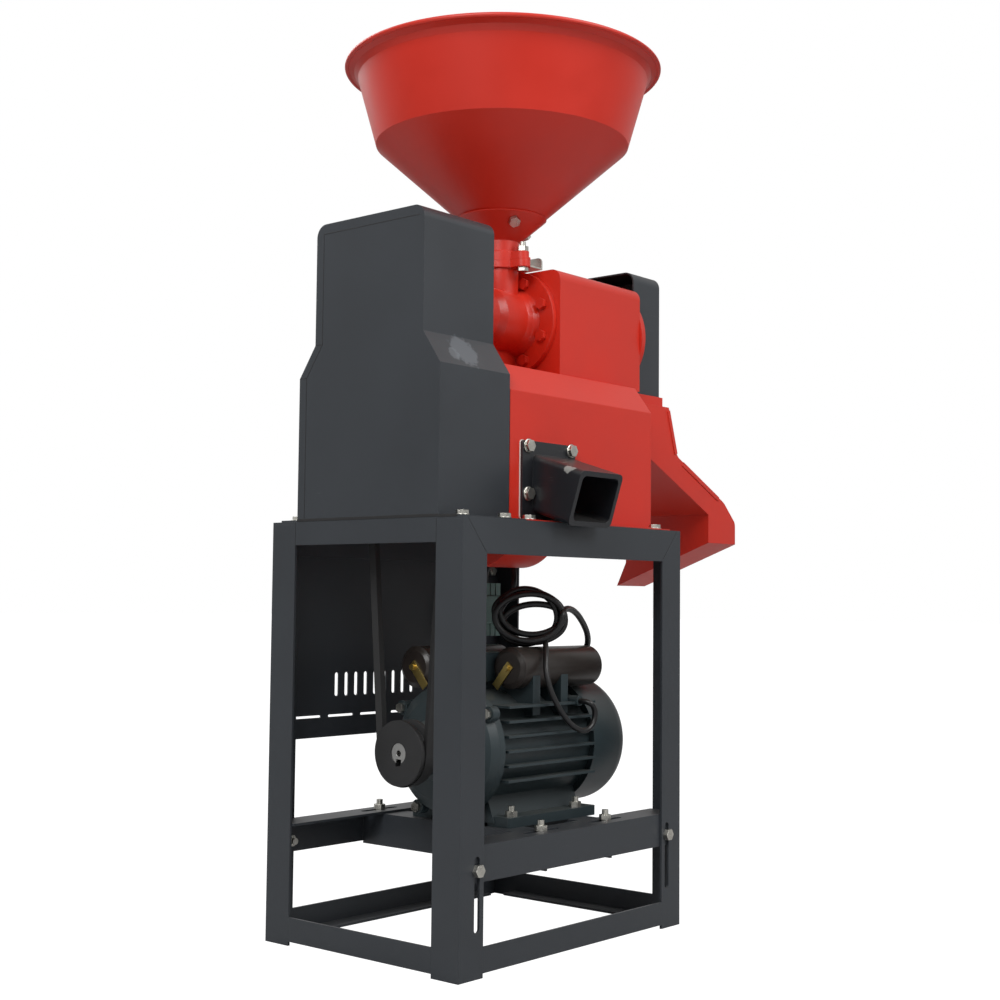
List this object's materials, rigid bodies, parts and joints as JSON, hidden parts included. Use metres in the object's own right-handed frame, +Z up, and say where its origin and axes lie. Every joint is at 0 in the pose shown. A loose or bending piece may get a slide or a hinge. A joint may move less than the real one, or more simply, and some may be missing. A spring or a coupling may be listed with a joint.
{
  "type": "rice huller",
  "caption": "Electric rice huller on an angle-iron stand: round hopper, milling chamber, bran box with spout, rice chute, belt guard and motor below.",
  "frame": {"origin": "bottom centre of the whole machine's bounding box, on the floor", "axes": "+Z up; +X along the main shaft from the belt guard to the rice chute; +Y towards the operator's panel, so the bran spout points to -Y"},
  "size_m": [0.682, 0.406, 1.09],
  "materials": {
    "red_paint": "satin red powder coat",
    "grey_paint": "satin dark grey powder coat",
    "zinc_plate": "bright zinc plate",
    "machined_steel": "machined, lightly oiled",
    "cast_iron": "as cast, dark",
    "motor_paint": "satin dark green-grey enamel",
    "black_rubber": "matt rubber",
    "white_gasket": "matt foam sheet",
    "black_plastic": "matt moulded",
    "capacitor_shell": "satin moulded",
    "brass": "pressed strip",
    "breaker_plastic": "moulded grey-green"
  },
  "bodies": {
    "machine": {"ball_bearings": "machined_steel", "belt_guard": "grey_paint", "blower_bearing": "cast_iron", "blower_housing": "red_paint", "bran_box": "red_paint", "bran_slide": "red_paint", "breaker_lead": "black_rubber", "cable_coil": "black_rubber", "capacitor_lead": "black_rubber", "capacitor_straps": "brass", "capacitors": "capacitor_shell", "chamber_cover": "red_paint", "chamber_ends": "red_paint", "circuit_breaker": "breaker_plastic", "discharge_box": "red_paint", "drive_belt": "black_rubber", "end_cover": "grey_paint", "end_shields": "motor_paint", "fan_belt": "black_rubber", "fan_cover": "motor_paint", "feed_housing": "red_paint", "flange_bolts": "zinc_plate", "gate_guide": "red_paint", "guard_back_plate": "grey_paint", "hopper": "red_paint", "hopper_bolts": "zinc_plate", "hopper_collar": "red_paint", "hulling_blade": "machined_steel", "leg_posts": "grey_paint", "motor_bolts": "zinc_plate", "motor_carriage": "grey_paint", "motor_frame": "motor_paint", "motor_lead": "black_rubber", "motor_stator": "machined_steel", "operator_panel": "grey_paint", "outlet_bolts": "zinc_plate", "outlet_gasket": "white_gasket", "outlet_ring": "red_paint", "outlet_spout": "grey_paint", "rice_chute": "red_paint", "screen_set": "machined_steel", "stand_bolts": "zinc_plate", "stand_rails": "grey_paint", "terminal_box": "motor_paint"},
    "huller_rotor": {"main_shaft": "machined_steel", "feed_screw": "cast_iron", "hulling_roller": "cast_iron", "huller_pulley": "cast_iron", "fan_drive_pulley": "cast_iron"},
    "motor_rotating": {"motor_rotor": "machined_steel", "motor_pulley": "cast_iron", "cooling_fan": "black_plastic"},
    "blower_rotor": {"blower_shaft": "machined_steel", "blower_impeller": "zinc_plate", "blower_pulley": "cast_iron"},
    "gate": {"feed_gate": "zinc_plate"},
    "outlet_valve": {"pressure_plate": "machined_steel"},
    "valve_screw": {"adjusting_screw": "machined_steel", "adjusting_knob": "black_plastic"},
    "switch_lever": {"breaker_toggle": "black_plastic"}
  },
  "joints": [
    {"name": "huller_spin", "type": "hinge", "parent": "machine", "child": "huller_rotor", "pos_m": [-0.041, 0, 0.764], "axis": [1, 0, 0], "continuous": true},
    {"name": "motor_spin", "type": "hinge", "parent": "machine", "child": "motor_rotating", "pos_m": [-0.101, 0, 0.229], "axis": [1, 0, 0], "continuous": true},
    {"name": "blower_spin", "type": "hinge", "parent": "machine", "child": "blower_rotor", "pos_m": [-0.141, -0.04, 0.516], "axis": [1, 0, 0], "continuous": true},
    {"name": "gate_slide", "type": "slide", "parent": "machine", "child": "gate", "axis": [1, 0, 0], "range_m": [-0.032, 0]},
    {"name": "screw_turn", "type": "hinge", "parent": "machine", "child": "valve_screw", "pos_m": [0.159, 0, 0.764], "axis": [1, 0, 0], "range_deg": [0, 1080]},
    {"name": "valve_slide", "type": "slide", "parent": "machine", "child": "outlet_valve", "axis": [1, 0, 0], "range_m": [0, 0.012]},
    {"name": "toggle_turn", "type": "hinge", "parent": "machine", "child": "switch_lever", "pos_m": [0.017, 0.1517, 0.396], "axis": [1, 0, 0], "range_deg": [-50, 0]}
  ],
  "couplings": [
    {"joint": "motor_spin", "follows": "huller_spin", "ratio": 2.0779},
    {"joint": "blower_spin", "follows": "huller_spin", "ratio": 2.0714},
    {"joint": "screw_turn", "follows": "valve_slide", "rad_per_m": 1570.8}
  ]
}
